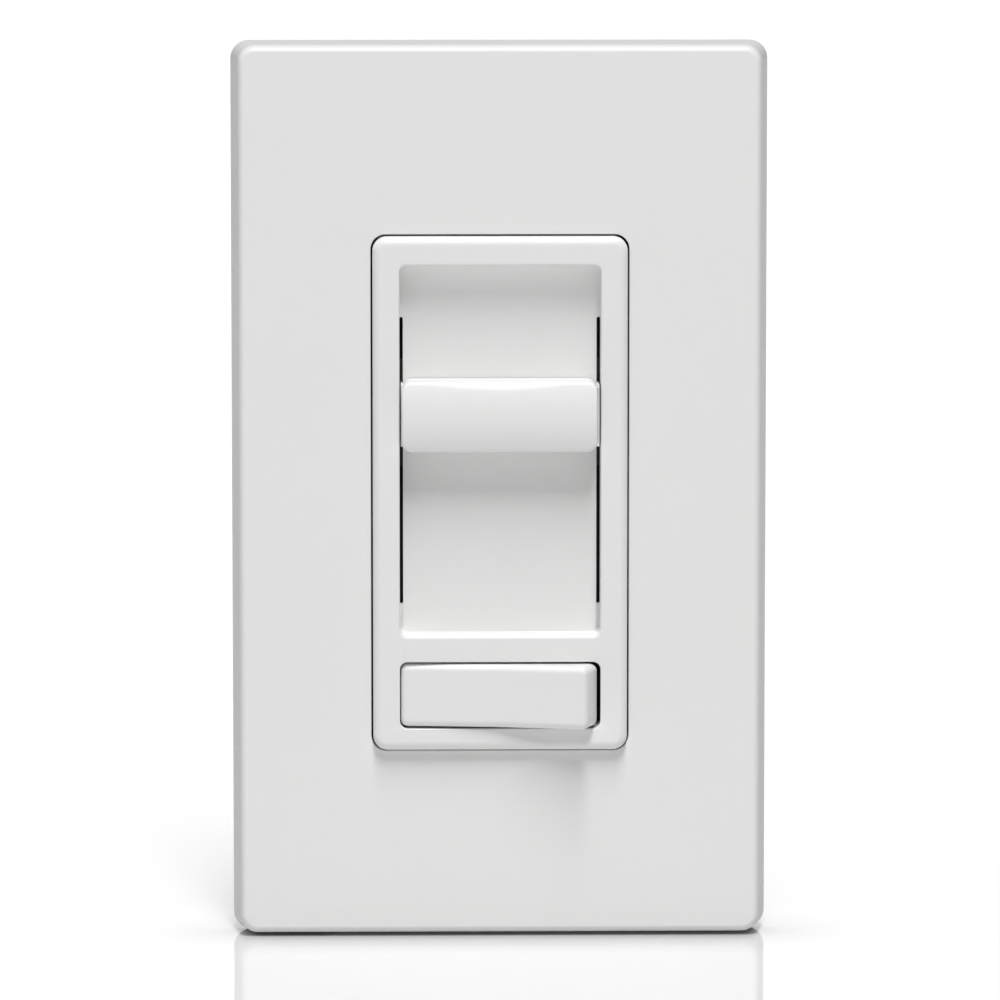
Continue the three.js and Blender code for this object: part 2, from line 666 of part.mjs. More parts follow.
function triacPad() {
  const { x, bottom, tabTop, rivetZ } = TRIAC;
  const pad = slab(roundedSpan(x - 5.8, x + 5.8, bottom, tabTop + 0.8, 1), SNUG, 0.35);
  return cut(pad, rod(1.6, -1, 3, x, rivetZ));
}

function triacRivet() {
  const { x, rivetZ } = TRIAC;
  return turned([[0, -1.4], [1.4, -1.4], [1.4, 1.75], [2.6, 1.75], [2.4, 2.4], [0, 2.9]], x, rivetZ);
}

const CHOKE = { x: -7.5, y: 13.4, z: 15, ring: 6.6, core: 2.4, wire: 0.5 };

function chokeCore() {
  const geometry = new THREE.TorusGeometry(CHOKE.ring, CHOKE.core, 8, 20);
  geometry.rotateX(Math.PI / 2);
  geometry.translate(CHOKE.x, CHOKE.y, CHOKE.z);
  return geometry;
}

// The winding goes most of the way round, with both tails on the board.
function chokeWinding() {
  const turns = 11;
  const perTurn = 7;
  const reach = CHOKE.core + CHOKE.wire + 0.45;
  const coil = Array.from({ length: turns * perTurn + 1 }, (_, i) => {
    const around = Math.PI * 0.15 + (Math.PI * 1.7 * i) / (turns * perTurn);
    const twist = -Math.PI / 2 + (i / perTurn) * Math.PI * 2;
    const radius = CHOKE.ring + reach * Math.cos(twist + Math.PI);
    const y = CHOKE.y + reach * Math.sin(twist);
    return [CHOKE.x + radius * Math.cos(around), y, CHOKE.z + radius * Math.sin(around)];
  });
  const tail = ([x, , z], down) => [[x, BOARD.back + SNUG, z + down], [x, BOARD.back + 0.6, z + down]];
  const start = tail(coil[0], -1.2);
  const end = tail(coil[coil.length - 1], 1.2).reverse();
  return wire([...start, ...coil, ...end], CHOKE.wire, turns * perTurn + 12, 2);
}

// A moulded capacitor standing on the back of the board.
function boxCapacitor(x, z, width, height, depth) {
  const back = BOARD.back + SNUG;
  const body = stack([
    { y: back, width, height, corner: 0.8 },
    { y: back + depth - 0.6, width, height, corner: 0.8 },
    { y: back + depth, width: width - 1.2, height: height - 1.2, corner: 0.3 },
  ], 2);
  body.translate(x, 0, z);
  return body;
}

// An axial component with its two legs bent down to the board.
function axialComponent(x, z, radius, halfLength) {
  const lift = radius + 0.6;
  const y = BOARD.back + lift;
  const waist = radius * 0.85;
  const body = turned([
    [0, -halfLength], [radius * 0.8, -halfLength], [radius, -halfLength + 0.4], [radius, -halfLength + 1],
    [waist, -halfLength + 1.4], [waist, halfLength - 1.4], [radius, halfLength - 1],
    [radius, halfLength - 0.4], [radius * 0.8, halfLength], [0, halfLength],
  ], 0, 0, 10);
  body.rotateX(Math.PI / 2);
  body.translate(x, y, z);
  const reach = halfLength + 1.6;
  const legs = [-1, 1].map((side) => wire([
    [x, y, z + side * (halfLength - 0.5)], [x, y, z + side * (reach - 0.6)],
    [x, y - 0.5, z + side * reach], [x, BOARD.back + SNUG, z + side * reach],
  ], 0.3, 6, 2));
  return join(body, ...legs);
}

// ---- rear housing -----------------------------------------------------------

const LEAD_X = [-9, 0, 9];

// A deep cup with a slightly wider rim where it meets the strap.
function rearHousing() {
  const { width, height, depth, corner, wall, rim, step } = HOUSING;
  const shell = cut(
    join(
      slab(roundedRect(width, height, corner), STRAP.back, rim),
      slab(roundedRect(width - 2 * step, height - 2 * step, corner - step), STRAP.back, depth),
    ),
    slab(roundedRect(width - 2 * wall, height - 2 * wall, corner - 1), STRAP.back - 1, depth - wall),
  );
  const spots = [-1, 1].flatMap((sx) => [-1, 1].map((sz) => [sx * HOUSING_SCREW.x, sz * HOUSING_SCREW.z]));
  const bosses = spots.map(([x, z]) => rod(HOUSING_SCREW.boss, STRAP.back, depth - 0.5, x, z, 14));
  const bores = spots.map(([x, z]) => rod(HOUSING_SCREW.bore, -1, depth + 1, x, z, 10));
  const counterbores = spots.map(([x, z]) => rod(2.4, depth - 1.7, depth + 1, x, z, 14));
  const leadHoles = LEAD_X.map((x) => rod(LEAD_RADIUS + 0.4, depth - 4, depth + 1, x, LEAD_EXIT_Z));
  const panel = slab(roundedRect(30, 26, 1.5, 0, 4), depth - 0.4, depth + 1);
  return cut(join(shell, ...bosses), ...bores, ...counterbores, ...leadHoles, panel);
}

function housingScrew(sideX, sideZ) {
  const x = sideX * HOUSING_SCREW.x;
  const z = sideZ * HOUSING_SCREW.z;
  const { depth } = HOUSING;
  const { shank } = HOUSING_SCREW;
  const head = depth - 1.7;
  const profile = [
    [0, -1.4], [shank, -1.4], [shank, head], [2.2, head], [2.2, depth - 0.6], [1.5, depth - 0.1], [0, depth],
  ];
  return cut(turned(profile, x, z, 12), block(x - 3, x + 3, depth - 0.8, depth + 1, z - 0.35, z + 0.35));
}

// ---- wire leads ---------------------------------------------------------------

// The half turn of a folded lead, from the part that runs up to the part that hangs down.
function foldOver(x, top) {
  const radius = (LEAD_FALL.back - LEAD_FALL.front) / 2;
  const middle = LEAD_FALL.front + radius;
  return [180, 135, 90, 45, 0].map((degrees) => {
    const angle = THREE.MathUtils.degToRad(degrees);
    return [x, middle + radius * Math.cos(angle), top - radius + radius * Math.sin(angle)];
  });
}

// Each lead leaves the back of the housing, runs up, folds over and hangs down.
function housingLeadPath(index) {
  const x = LEAD_X[index];
  const { front, back } = LEAD_FALL;
  return [
    [x, 21.5, LEAD_EXIT_Z], [x, 26, LEAD_EXIT_Z], [x, 31, LEAD_EXIT_Z], [x, 36, LEAD_EXIT_Z + 4],
    [x, front, LEAD_EXIT_Z + 14], ...foldOver(x, 30 + index * 2.5), [x, back, -12 + index * 4],
  ];
}

function groundLeadPath() {
  const { x, z } = GROUND;
  const start = z - 4.5;
  const outer = x + 6;
  const { front, back } = LEAD_FALL;
  return [
    [x, GROUND.barrelY, start], [x, GROUND.barrelY, start - 5.5], [x + 0.6, 8, start - 9.4],
    [outer, 22, start - 6], [outer, 34, start + 2], [outer, front, start + 14],
    ...foldOver(outer, 27), [outer, back, -6],
  ];
}

function lead(path) {
  return wire(path, LEAD_RADIUS, 48, 3);
}

// The bared end of a lead that hangs straight down.
function conductor(path) {
  const [x, y, z] = path[path.length - 1];
  return pin(CONDUCTOR_RADIUS, z - 12, z - SNUG, x, y, 10);
}

// ---- assembly -----------------------------------------------------------------

function add(parent, name, geometry, material) {
  const mesh = new THREE.Mesh(geometry, material);
  mesh.name = name;
  parent.add(mesh);
  return mesh;
}

const device = new THREE.Group();

add(device, 'wallplate_cover', wallplateCover(), PAINT.white());
add(device, 'wallplate_subplate', wallplateSubplate(), PAINT.innerWhite());
add(device, 'plate_screw_top', plateScrew(1), PAINT.steel());
add(device, 'plate_screw_bottom', plateScrew(-1), PAINT.steel());
add(device, 'mounting_strap', mountingStrap(), PAINT.aluminium());
add(device, 'box_screw_top', boxScrew(1), PAINT.steel());
add(device, 'box_screw_bottom', boxScrew(-1), PAINT.steel());
add(device, 'screw_retainer_top', screwRetainer(1), PAINT.tan());
add(device, 'screw_retainer_bottom', screwRetainer(-1), PAINT.tan());
add(device, 'ground_screw', groundScrew(), PAINT.green());
add(device, 'ground_ring', groundRing(), PAINT.copper());
add(device, 'insulating_sheet', insulatingSheet(), PAINT.blackPlastic());
add(device, 'face_frame', faceFrame(), PAINT.white());

const slider = new THREE.Group();
add(slider, 'slider_knob', sliderKnob(), PAINT.white());
add(slider, 'slider_carriage', sliderCarriage(), PAINT.blackPlastic());
add(slider, 'pot_lever', potLever(), PAINT.blackPlastic());
device.add(slider);

// The rocker rests with its right end out.
const rocker = new THREE.Group();
rocker.position.set(0, ROCKER.pivotY, ROCKER.z);
rocker.rotation.z = rad(-ROCKER_TILT);
add(rocker, 'rocker_paddle', rockerPaddle(), PAINT.white());
add(rocker, 'rocker_plunger', rockerPlunger(), PAINT.innerWhite());
add(rocker, 'rocker_spring', rockerSpring(), PAINT.steel());
device.add(rocker);

const bridge = new THREE.Group();
bridge.position.set(0, BRIDGE.pivotY, ROCKER.z);
bridge.rotation.z = rad(BRIDGE.tilt);
add(bridge, 'contact_bridge', contactBridge(), PAINT.copper());
add(bridge, 'bridge_contact_left', bridgeContact(-1), PAINT.silver());
add(bridge, 'bridge_contact_right', bridgeContact(1), PAINT.silver());
device.add(bridge);

add(device, 'switch_base', switchBase(), PAINT.blackPlastic());
add(device, 'common_terminal', commonTerminal(), PAINT.brass());
for (const [name, side] of [['left', -1], ['right', 1]]) {
  add(device, `fixed_terminal_${name}`, fixedTerminal(side), PAINT.brass());
  add(device, `fixed_contact_${name}`, fixedContact(side), PAINT.silver());
}

add(device, 'circuit_board', circuitBoard(), PAINT.board());
add(device, 'pot_cover', potCover(), PAINT.steel());
add(device, 'pot_track', potTrack(), PAINT.phenolic());
add(device, 'triac', triac(), PAINT.blackPlastic());
add(device, 'triac_pad', triacPad(), PAINT.innerWhite());
add(device, 'triac_rivet', triacRivet(), PAINT.aluminium());
add(device, 'choke_core', chokeCore(), PAINT.ferrite());
add(device, 'choke_winding', chokeWinding(), PAINT.amber());
add(device, 'interference_capacitor', boxCapacitor(9.5, 14, 8, 18, 14), PAINT.blue());
add(device, 'timing_capacitor', boxCapacitor(-11, -4.5, 8, 5, 9), PAINT.amber());
add(device, 'diac', axialComponent(-2, -9, 0.9, 2.2), PAINT.blue());
add(device, 'timing_resistor', axialComponent(4, -8, 1.2, 3.4), PAINT.tan());
add(device, 'gate_resistor', axialComponent(9, -8, 1.2, 3.4), PAINT.tan());

add(device, 'rear_housing', rearHousing(), PAINT.blackPlastic());
for (const [vertical, sideZ] of [['top', 1], ['bottom', -1]]) {
  for (const [horizontal, sideX] of [['left', -1], ['right', 1]]) {
    add(device, `housing_screw_${vertical}_${horizontal}`, housingScrew(sideX, sideZ), PAINT.steel());
  }
}

const LEADS = [
  ['black', PAINT.black, housingLeadPath(0)],
  ['red', PAINT.red, housingLeadPath(1)],
  ['red_striped', PAINT.red, housingLeadPath(2)],
  ['green', PAINT.green, groundLeadPath()],
];
for (const [name, colour, path] of LEADS) {
  add(device, `lead_${name}`, lead(path), colour());
  add(device, `conductor_${name}`, conductor(path), PAINT.copper());
}

// Stand the device on its bottom edge, with the origin under its middle.
const bounds = new THREE.Box3().setFromObject(device, true);
const middle = bounds.getCenter(new THREE.Vector3());
device.position.set(-middle.x, -middle.y, -bounds.min.z);

const group = new THREE.Group();
group.add(device);

export default group;
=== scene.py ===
import json
import math

import bmesh
import bpy
from mathutils import Matrix, Vector
from mathutils.geometry import tessellate_polygon


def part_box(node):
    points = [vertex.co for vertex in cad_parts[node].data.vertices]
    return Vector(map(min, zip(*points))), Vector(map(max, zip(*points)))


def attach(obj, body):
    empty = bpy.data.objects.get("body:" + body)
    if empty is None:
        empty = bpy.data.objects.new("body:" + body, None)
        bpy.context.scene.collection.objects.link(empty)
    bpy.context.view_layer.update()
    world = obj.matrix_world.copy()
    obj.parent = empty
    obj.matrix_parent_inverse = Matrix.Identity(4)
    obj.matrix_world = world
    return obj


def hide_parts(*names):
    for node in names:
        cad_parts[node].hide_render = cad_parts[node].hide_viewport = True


# A white slide dimmer in its screwless wallplate, standing on a pale floor.
# The object's sizes are in millimetres, measured from the middle of the wall
# plane: x to the right, y back into the wall, z up.

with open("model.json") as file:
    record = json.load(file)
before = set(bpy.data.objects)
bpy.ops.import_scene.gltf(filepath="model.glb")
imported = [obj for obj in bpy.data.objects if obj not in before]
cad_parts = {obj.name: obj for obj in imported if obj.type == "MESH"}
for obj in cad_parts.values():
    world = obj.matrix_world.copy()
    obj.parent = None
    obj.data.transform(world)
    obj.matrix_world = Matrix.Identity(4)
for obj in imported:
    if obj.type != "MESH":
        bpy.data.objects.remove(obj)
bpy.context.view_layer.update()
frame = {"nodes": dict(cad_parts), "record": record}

MM = 0.001
PLATE_LOW, PLATE_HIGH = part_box("wallplate_cover")
PLATE_MIDDLE = (PLATE_LOW + PLATE_HIGH) / 2
WALL_CENTRE = Vector((PLATE_MIDDLE.x, PLATE_HIGH.y, PLATE_MIDDLE.z))

# ---- fineness of the meshes -------------------------------------------------

CORNER_STEPS = 10
EDGE_STEPS = 7
RECESS_LIP_STEPS = 6
WINDOW_LIP_STEPS = 4
COVE_STEPS = 14
CAP_ACROSS = 40
CAP_UP = 14
CAP_RINGS = 16
ROCKER_SIDE_STEPS = 6
LEAD_SIDES = 20
LEAD_SPAN_STEPS = 14
SHARP_EDGE = 40
SHARP_LEAD_EDGE = 60
SHARP_CAD_EDGE = 35
TINY_CORNER = 0.02

# ---- sizes ------------------------------------------------------------------

PLATE_HALF = (34.95, 58.5)
PLATE_CORNER = 2.4
PLATE_FACE = -6.8
PLATE_DRAFT = (0.9, 0.4)
PLATE_ROLL = (1.0, 1.5)
PLATE_WALL = 1.6
PLATE_BACK_CHAMFER = 0.15
PLATE_INNER_CORNER = 1.2
FACE_Z = -0.16
OPENING_HALF = (16.77, 33.74)
OPENING_CORNER = 1.95
OPENING_LIP = 0.15

FRAME_HALF = (16.54, 33.51)
FRAME_CORNER = 1.9
FRAME_FACE = -8.6
FRAME_BACK = -1.8
FRAME_EDGE = 1.1
RECESS_X = 13.05
RECESS_TOP = 29.65
RECESS_BOTTOM = -18.5
RECESS_CORNER = 0.9
RECESS_FLOOR = -4.8
COVE_HEIGHT = 6.4
COVE_FOOT = RECESS_TOP - COVE_HEIGHT
WINDOW_LIP = 0.25
BOTTOM_LIP = 0.6
SLOT_INNER = 12.6
SLOT_TOP = 22.7
SLOT_BOTTOM = -14.9
SLOT_BACK = -2.5
OVERRUN = 0.01
GROOVE_TOP = SLOT_BOTTOM + 1
GROOVE_BOTTOM = RECESS_BOTTOM + WINDOW_LIP
GROOVE_DEPTH = 0.3
GROOVE_CORNER = 0.05
BACK_POCKET = {"half": (14.2, 25.1), "corner": 0.8, "centre_z": 5.5, "front": -3.4}

SLIDER_Z = 10.12
SLIDER_HALF = (12.7, 4.6)
SLIDER_SHIFT = -0.1
SLIDER_CORNER = 1.35
SLIDER_CREST = -10.7
SLIDER_DROP = 0.8
SLIDER_FULLNESS = 2.2
SLIDER_EDGE = 0.4
SLIDER_CLEARANCE = 0.15
SCOOP_HALF = 10.8
SCOOP_REACH = 1.2
SCOOP_SLOPE = 0.28
SCOOP_BLEND = 0.35
BLADE_X = (12.72, 12.88)
BLADE_HALF_HEIGHT = 4.02
BLADE_FRONT = FRAME_FACE + 0.5
BLADE_STEP = RECESS_FLOOR - 0.2
BLADE_BACK = FRAME_BACK - 0.2
BLADE_JOINT = 0.2
BLADE_NUB = 0.5

ROCKER_TOP = -22.07
ROCKER_BOTTOM = -30.8
ROCKER_WINDOW_CORNER = 1.0
ROCKER_WINDOW_LIP = 0.15
ROCKER_WINDOW_DEPTH = 1.2
ROCKER_RELIEF = 0.75
ROCKER_Z = (ROCKER_TOP + ROCKER_BOTTOM) / 2
ROCKER_HALF = (12.15, 4.1)
ROCKER_CORNER = 0.95
ROCKER_PIVOT_Y = -4.6
ROCKER_MIDDLE = -9.65 - ROCKER_PIVOT_Y
ROCKER_VEE = math.radians(3.5)
ROCKER_DRAFT = math.radians(11.2)
ROCKER_TILT = math.radians(-9)
ROCKER_EDGE = 0.85
ROCKER_BLUNT = 0.6
ROCKER_FOOT = -1.6

LEAD_RADIUS = 1.6
LEAD_X = (-9, 0, 9)
LEAD_EXIT_Z = -24
LEAD_FALL = (37, 45)
LEAD_STRIPE = 0.93
GROUND = (12, 2.4, -40.2)
CAD_EDGE = 0.15
CAD_EDGE_ANGLE = math.radians(50)

# ---- floor, light and camera: distances in metres, the camera's target in millimetres ----

FLOOR_HALF = 12.0
FLOOR_GREY = 0.57
FLOOR_GLOW = 0.28
# How far from the plate's foot the floor's glow is dimmed as painted contact shade.
PAINTED_SHADE_REACH = 0.014
LEFT_LIGHT = 0.28
FRONT_LIGHT = 0.42
BACK_LIGHT = 0.22
BACK_LIGHT_FROM = 0.3
KEY_ELEVATION = math.radians(64)
KEY_AZIMUTH = math.radians(5)
KEY_DISTANCE = 4.2
KEY_SIZE = (0.66, 2.4)
KEY_POWER = 175.5
CAMERA_LENS = 235.3
CAMERA_SENSOR = 36
CAMERA_ELEVATION = math.radians(6.3)
CAMERA_AZIMUTH = math.radians(-1.1)
CAMERA_DISTANCE = 0.850
CAMERA_TARGET = (0.0, PLATE_FACE, -1.02)


def place(x, y, z):
    """A point given in the object's millimetres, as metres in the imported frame."""
    return WALL_CENTRE + Vector((x, y, z)) * MM


# ---- procedural materials ---------------------------------------------------


def node(tree, kind, **inputs):
    """A new node; an underscore in an input's name stands for a space."""
    made = tree.nodes.new(kind)
    for name, value in inputs.items():
        made.inputs[name.replace("_", " ")].default_value = value
    return made


def feed(tree, socket, value):
    """Gives an input a number or a colour, or links it to another node's output."""
    if isinstance(value, bpy.types.NodeSocket):
        tree.links.new(value, socket)
    elif isinstance(value, (tuple, list)):
        socket.default_value = (*value, 1)
    else:
        socket.default_value = value


def maths(tree, operation, first, second):
    made = tree.nodes.new("ShaderNodeMath")
    made.operation = operation
    feed(tree, made.inputs[0], first)
    feed(tree, made.inputs[1], second)
    return made.outputs["Value"]


def mix_colour(tree, factor, first, second):
    mixed = tree.nodes.new("ShaderNodeMix")
    mixed.data_type = "RGBA"
    feed(tree, mixed.inputs["Factor"], factor)
    feed(tree, mixed.inputs["A"], first)
    feed(tree, mixed.inputs["B"], second)
    return mixed.outputs["Result"]


def spread(tree, value, low, high):
    """Maps a 0 to 1 value to the range low to high."""
    ranged = tree.nodes.new("ShaderNodeMapRange")
    tree.links.new(value, ranged.inputs["Value"])
    ranged.inputs["To Min"].default_value = low
    ranged.inputs["To Max"].default_value = high
    return ranged.outputs["Result"]


def edge_mask(tree, radius):
    """1 on edges that get rubbed, 0 on open faces."""
    bevel = tree.nodes.new("ShaderNodeBevel")
    bevel.samples = 4
    bevel.inputs["Radius"].default_value = radius
    flat = tree.nodes.new("ShaderNodeNewGeometry")
    turn = tree.nodes.new("ShaderNodeVectorMath")
    turn.operation = "DOT_PRODUCT"
    tree.links.new(bevel.outputs["Normal"], turn.inputs[0])
    tree.links.new(flat.outputs["Normal"], turn.inputs[1])
    ranged = tree.nodes.new("ShaderNodeMapRange")
    tree.links.new(turn.outputs["Value"], ranged.inputs["Value"])
    ranged.inputs["From Min"].default_value = 0.98
    ranged.inputs["From Max"].default_value = 0.75
    return ranged.outputs["Result"]


def material(name, colour, roughness, metallic=0.0, *, vary=0.03, grain=900.0, bump=0.02,
             stretch=(1, 1, 1), wear=None, wear_radius=0.0003, coat=0.0):
    """A surface with slow colour changes, a fine grain, and rubbed edges in the wear colour."""
    made = bpy.data.materials.new(name)
    made.use_nodes = True
    made.diffuse_color = (*colour, 1)
    tree = made.node_tree
    shader = tree.nodes["Principled BSDF"]
    position = tree.nodes.new("ShaderNodeTexCoord")
    stretched = tree.nodes.new("ShaderNodeMapping")
    stretched.inputs["Scale"].default_value = stretch
    tree.links.new(position.outputs["Object"], stretched.inputs["Vector"])
    slow = node(tree, "ShaderNodeTexNoise", Scale=45.0, Detail=3.0)
    fine = node(tree, "ShaderNodeTexNoise", Scale=grain, Detail=2.0)
    for noise in (slow, fine):
        tree.links.new(stretched.outputs["Vector"], noise.inputs["Vector"])
    darker = [c * (1 - vary) for c in colour]
    lighter = [min(1.0, c * (1 + vary)) for c in colour]
    base = mix_colour(tree, slow.outputs["Fac"], darker, lighter)
    rough = spread(tree, fine.outputs["Fac"], roughness * 0.9, roughness * 1.1)
    if wear is not None:
        rubbed = maths(tree, "MULTIPLY", edge_mask(tree, wear_radius), slow.outputs["Fac"])
        base = mix_colour(tree, rubbed, base, wear)
    bumped = node(tree, "ShaderNodeBump", Strength=bump, Distance=0.0001)
    tree.links.new(fine.outputs["Fac"], bumped.inputs["Height"])
    tree.links.new(base, shader.inputs["Base Color"])
    tree.links.new(rough, shader.inputs["Roughness"])
    tree.links.new(bumped.outputs["Normal"], shader.inputs["Normal"])
    shader.inputs["Metallic"].default_value = metallic
    shader.inputs["Coat Weight"].default_value = coat
    return made


WHITE = (0.80, 0.80, 0.795)
SLOT_LOOKS = {
    "white_plastic": material("white plastic", WHITE, 0.43, vary=0.006, grain=2600, bump=0.05,
                              wear=(0.84, 0.84, 0.835), wear_radius=0.00025),
    "inner_plastic": material("inner white plastic", (0.74, 0.74, 0.72), 0.5, vary=0.02, bump=0.05,
                              wear=(0.8, 0.8, 0.79)),
    "strap_aluminium": material("strap aluminium", (0.66, 0.67, 0.69), 0.38, 0.95, vary=0.06, grain=700,
                                stretch=(1, 1, 0.06), bump=0.12, wear=(0.85, 0.86, 0.88)),
    "steel": material("zinc plated steel", (0.56, 0.57, 0.59), 0.3, 1.0, vary=0.07, bump=0.06,
                      wear=(0.78, 0.78, 0.79)),
    "fibre": material("fibre board", (0.42, 0.27, 0.13), 0.6, vary=0.12, grain=500, bump=0.15,
                      wear=(0.55, 0.4, 0.24)),
    "green_screw": material("green plated screw", (0.04, 0.28, 0.1), 0.3, 0.7, vary=0.08, bump=0.05,
                            wear=(0.5, 0.55, 0.45)),
    "copper": material("copper", (0.72, 0.36, 0.2), 0.28, 1.0, vary=0.08, bump=0.06, wear=(0.95, 0.6, 0.42)),
    "brass": material("brass", (0.73, 0.52, 0.2), 0.3, 1.0, vary=0.06, bump=0.06, wear=(0.92, 0.75, 0.42)),
    "contact_silver": material("contact silver", (0.8, 0.8, 0.78), 0.22, 1.0, vary=0.05, bump=0.03,
                               wear=(0.92, 0.92, 0.9)),
    "black_plastic": material("black plastic", (0.022, 0.022, 0.025), 0.48, vary=0.12, grain=1500, bump=0.25,
                              wear=(0.07, 0.07, 0.075), wear_radius=0.0005),
    # The film is near-black so that the slots and gaps of the face frame in front of it look dark: its
    # colour is painted shade.
    "insulating_film": material("insulating film painted black as gap shade", (0.012, 0.012, 0.013), 0.7, vary=0.1, bump=0.05,
                                wear=(0.03, 0.03, 0.03)),
    "board": material("circuit board", (0.02, 0.14, 0.05), 0.4, vary=0.1, bump=0.08, wear=(0.45, 0.4, 0.22)),
    "thermal_pad": material("thermal pad", (0.62, 0.62, 0.6), 0.7, vary=0.04, bump=0.08,
                            wear=(0.7, 0.7, 0.68)),
    "ferrite": material("pressed ferrite", (0.05, 0.05, 0.055), 0.7, vary=0.15, grain=1200, bump=0.4,
                        wear=(0.12, 0.12, 0.125)),
    "film_capacitor": material("film capacitor box", (0.03, 0.1, 0.36), 0.35, vary=0.05, bump=0.05,
                               wear=(0.1, 0.2, 0.5)),
    "small_capacitor": material("dipped capacitor", (0.5, 0.22, 0.04), 0.35, vary=0.08, bump=0.06,
                                wear=(0.62, 0.34, 0.12)),
    "resistor_body": material("resistor lacquer", (0.58, 0.44, 0.26), 0.45, vary=0.06, bump=0.08,
                              wear=(0.7, 0.58, 0.42)),
    "diac_glass": material("diac bead", (0.04, 0.1, 0.42), 0.15, vary=0.06, bump=0.02, wear=(0.2, 0.28, 0.6),
                           coat=0.5),
    "wire_black": material("black insulation", (0.015, 0.015, 0.016), 0.36, vary=0.1, bump=0.06,
                           wear=(0.05, 0.05, 0.052)),
    "wire_red": material("red insulation", (0.5, 0.022, 0.015), 0.36, vary=0.06, bump=0.06,
                         wear=(0.6, 0.1, 0.08)),
    "wire_red_striped": material("striped red insulation", (0.5, 0.022, 0.015), 0.36, vary=0.06, bump=0.06,
                                 wear=(0.6, 0.1, 0.08)),
    "wire_green": material("green insulation", (0.02, 0.24, 0.07), 0.36, vary=0.06, bump=0.06,
                           wear=(0.1, 0.35, 0.15)),
}
STRIPE_WHITE = material("stripe ink", (0.75, 0.75, 0.72), 0.45, vary=0.03, bump=0.04, wear=(0.6, 0.4, 0.36))

# ---- mesh building ----------------------------------------------------------


def outline(half_x, half_z, corner, centre_z=0.0, across=0, side_levels=()):
    """A rounded rectangle as (x, z) points, counter-clockwise from where the top right corner starts.
    across is how many points lie along the top and the bottom, and side_levels are the heights of
    the points along the sides."""
    points = []
    inner_x, inner_z = half_x - corner, half_z - corner
    for quarter in range(4):
        side_x = 1 if quarter in (0, 3) else -1
        side_z = 1 if quarter in (0, 1) else -1
        for step in range(CORNER_STEPS + 1):
            angle = math.radians(90 * (quarter + step / CORNER_STEPS))
            points.append((side_x * inner_x + corner * math.cos(angle),
                           centre_z + side_z * inner_z + corner * math.sin(angle)))
        if quarter in (0, 2):
            for step in range(1, across + 1):
                share = 1 - 2 * step / (across + 1)
                points.append((side_x * inner_x * share, centre_z + side_z * half_z))
        elif quarter == 1:
            points.extend((-half_x, level) for level in sorted(side_levels, reverse=True))
        else:
            points.extend((half_x, level) for level in sorted(side_levels))
    return points


def quarter_turn(steps):
    """Even angles from 0 to 90 degrees."""
    return [math.radians(90 * step / steps) for step in range(steps + 1)]


def roll(front, inset, depth):
    """The (shrink, y) pairs of a rounded edge, from the face back to the side."""
    angles = quarter_turn(EDGE_STEPS)
    return [(inset * (1 - math.sin(a)), front + depth * (1 - math.cos(a))) for a in angles]


class Skin:
    """Collects rings of points and the faces between them."""

    def __init__(self):
        self.points = []
        self.faces = []

    def ring(self, points):
        start = len(self.points)
        self.points.extend(points)
        return list(range(start, len(self.points)))

    def bridge(self, first, second):
        count = len(first)
        for i in range(count):
            j = (i + 1) % count
            self.faces.append((first[i], first[j], second[j], second[i]))

    def loft(self, rings):
        for first, second in zip(rings, rings[1:]):
            self.bridge(first, second)

    def flat(self, *rings):
        """A flat face with the first ring as its edge and the others as holes."""
        order = [i for ring in rings for i in ring]
        loops = [[Vector((self.points[i][0], self.points[i][2], 0)) for i in ring] for ring in rings]
        self.faces.extend(tuple(order[i] for i in face) for face in tessellate_polygon(loops))

    def ladder(self, ring):
        """Fills a ring that is the same on its left and right with level rungs."""
        left = [i for i in ring if self.points[i][0] < -1e-6]
        right = [i for i in ring if self.points[i][0] > 1e-6]
        left.sort(key=lambda i: (-round(self.points[i][2], 5), self.points[i][0] * self.points[i][2]))
        right.sort(key=lambda i: (-round(self.points[i][2], 5), -self.points[i][0] * self.points[i][2]))
        for i in range(len(left) - 1):
            self.faces.append((left[i], left[i + 1], right[i + 1], right[i]))

    def mesh(self, name, sharp=SHARP_EDGE, turn=None):
        made = bpy.data.meshes.new(name)
        points = [Vector(p) if turn is None else turn @ Vector(p) for p in self.points]
        made.from_pydata([place(*p) for p in points], [], self.faces)
        cleaned = bmesh.new()
        cleaned.from_mesh(made)
        bmesh.ops.remove_doubles(cleaned, verts=cleaned.verts, dist=2e-7)
        bmesh.ops.dissolve_degenerate(cleaned, edges=cleaned.edges, dist=1e-7)
        bmesh.ops.recalc_face_normals(cleaned, faces=cleaned.faces)
        cleaned.to_mesh(made)
        cleaned.free()
        soften(made, sharp)
        return made


def soften(mesh, sharp):
    """Shades the mesh smooth, apart from edges that turn by more than sharp degrees."""
    mesh.polygons.foreach_set("use_smooth", [True] * len(mesh.polygons))
    mesh.set_sharp_from_angle(angle=math.radians(sharp))


def show(name, mesh):
    made = bpy.data.objects.new(name, mesh)
    bpy.context.scene.collection.objects.link(made)
    return made


def finish_piece(piece, body, nodes, slot_name):
    """Weights the piece's normals, paints it and puts it in place of its CAD nodes."""
    weighted = piece.modifiers.new("flat faces", "WEIGHTED_NORMAL")
    weighted.keep_sharp = True
    piece.data.materials.clear()
    piece.data.materials.append(SLOT_LOOKS[slot_name])
    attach(piece, body)
    if nodes:
        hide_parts(*nodes)


def cut_with(piece, cutter_skin):
    """Takes the cutter's volume out of the piece for good."""
    cutter = show("cutter", cutter_skin.mesh("cutter"))
    boolean = piece.modifiers.new("cut", "BOOLEAN")
    boolean.operation = "DIFFERENCE"
    boolean.solver = "EXACT"
    boolean.object = cutter
    bpy.context.view_layer.update()
    shaped = bpy.data.meshes.new_from_object(piece.evaluated_get(bpy.context.evaluated_depsgraph_get()))
    piece.modifiers.clear()
    piece.data = shaped
    bpy.data.objects.remove(cutter)


